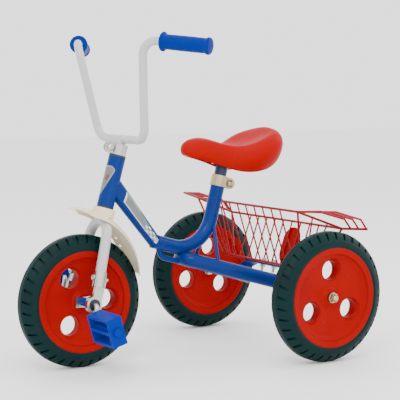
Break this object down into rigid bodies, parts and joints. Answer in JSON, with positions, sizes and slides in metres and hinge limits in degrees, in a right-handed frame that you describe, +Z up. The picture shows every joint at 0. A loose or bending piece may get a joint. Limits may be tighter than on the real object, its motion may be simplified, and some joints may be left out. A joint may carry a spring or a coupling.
{
  "type": "tricycle",
  "caption": "Children's pedal tricycle with a bent tube frame, three moulded wheels with rubber tyres, front-wheel cranks, height-adjustable saddle, mudguard and a wire basket behind.",
  "frame": {"origin": "on the ground, midway between the axles, in the tricycle's middle plane", "axes": "+X forward, +Y to the rider's left, +Z up"},
  "size_m": [0.678, 0.5016, 0.6327],
  "materials": {
    "blue_paint": "gloss blue paint",
    "black_post": "gloss dark blue paint",
    "white_paint": "gloss white paint",
    "red_wire": "gloss red coated wire",
    "red_plastic": "moulded red",
    "saddle_red": "smooth moulded red",
    "tyre_rubber": "dark green-black rubber",
    "grip_blue": "soft blue",
    "pedal_blue": "moulded blue",
    "cream_plastic": "cream",
    "black_plastic": "black",
    "yellow_zinc": "yellow zinc plate",
    "bright_zinc": "bright zinc plate"
  },
  "bodies": {
    "frame": {"head_tube": "blue_paint", "down_tube": "blue_paint", "seat_tube": "blue_paint", "main_bend": "blue_paint", "main_leg": "blue_paint", "tie_bar": "blue_paint", "chassis_bow": "blue_paint", "chassis_leg_left": "blue_paint", "chassis_leg_right": "blue_paint", "seat_stays": "blue_paint", "basket_bracket": "blue_paint", "head_cups": "black_plastic", "rear_axle": "bright_zinc", "axle_lock_nuts": "bright_zinc", "axle_washers": "bright_zinc", "acorn_nuts": "yellow_zinc", "chassis_plugs": "black_plastic", "seat_clamp": "yellow_zinc", "seat_clamp_bolt": "yellow_zinc", "seat_clamp_nut": "yellow_zinc", "basket_front": "red_wire", "basket_rear": "red_wire", "basket_floor_wires": "red_wire", "basket_ends": "red_wire", "basket_wing_left": "red_wire", "basket_wing_right": "red_wire", "basket_badge": "red_plastic", "basket_bolts": "bright_zinc", "basket_nuts": "bright_zinc"},
    "seat": {"seat_post": "black_post", "saddle_bracket": "black_plastic", "saddle": "saddle_red", "saddle_bolts": "bright_zinc"},
    "fork": {"fork_tube": "white_paint", "steerer_tube": "bright_zinc", "mudguard": "cream_plastic", "fork_ends": "bright_zinc", "fork_screws": "bright_zinc", "fork_nuts": "bright_zinc", "crank_bushes": "black_plastic", "stem_clamp": "bright_zinc", "stem_bolt": "bright_zinc", "stem_nut": "bright_zinc", "handlebar": "white_paint", "grip_left": "grip_blue", "grip_right": "grip_blue"},
    "drive_wheel": {"front_wheel": "red_plastic", "front_tyre": "tyre_rubber", "crank_rod": "bright_zinc", "drive_plate": "bright_zinc", "crank_spacers": "pedal_blue", "pedal_caps": "bright_zinc"},
    "left_pedal": {"pedal_left": "pedal_blue"},
    "right_pedal": {"pedal_right": "pedal_blue"},
    "left_rear_wheel": {"rear_wheel_left": "red_plastic", "rear_tyre_left": "tyre_rubber", "rear_bushes_left": "black_plastic"},
    "right_rear_wheel": {"rear_wheel_right": "red_plastic", "rear_tyre_right": "tyre_rubber", "rear_bushes_right": "black_plastic"}
  },
  "joints": [
    {"name": "steering", "type": "hinge", "parent": "frame", "child": "fork", "pos_m": [0.2072, 0, 0.1256], "axis": [-0.279, 0, 0.9603], "range_deg": [-45, 45]},
    {"name": "front_axle", "type": "hinge", "parent": "fork", "child": "drive_wheel", "pos_m": [0.212, 0, 0.127], "axis": [0, 1, 0], "continuous": true},
    {"name": "left_pedal_spin", "type": "hinge", "parent": "drive_wheel", "child": "left_pedal", "pos_m": [0.21825, 0.118, 0.09155], "axis": [0, 1, 0], "continuous": true},
    {"name": "right_pedal_spin", "type": "hinge", "parent": "drive_wheel", "child": "right_pedal", "pos_m": [0.20575, -0.118, 0.16245], "axis": [0, 1, 0], "continuous": true},
    {"name": "left_rear_axle", "type": "hinge", "parent": "frame", "child": "left_rear_wheel", "pos_m": [-0.212, 0.2185, 0.127], "axis": [0, 1, 0], "continuous": true},
    {"name": "right_rear_axle", "type": "hinge", "parent": "frame", "child": "right_rear_wheel", "pos_m": [-0.212, -0.2185, 0.127], "axis": [0, 1, 0], "continuous": true},
    {"name": "seat_height", "type": "slide", "parent": "frame", "child": "seat", "axis": [-0.2588, 0, 0.9659], "range_m": [0, 0.05]}
  ]
}
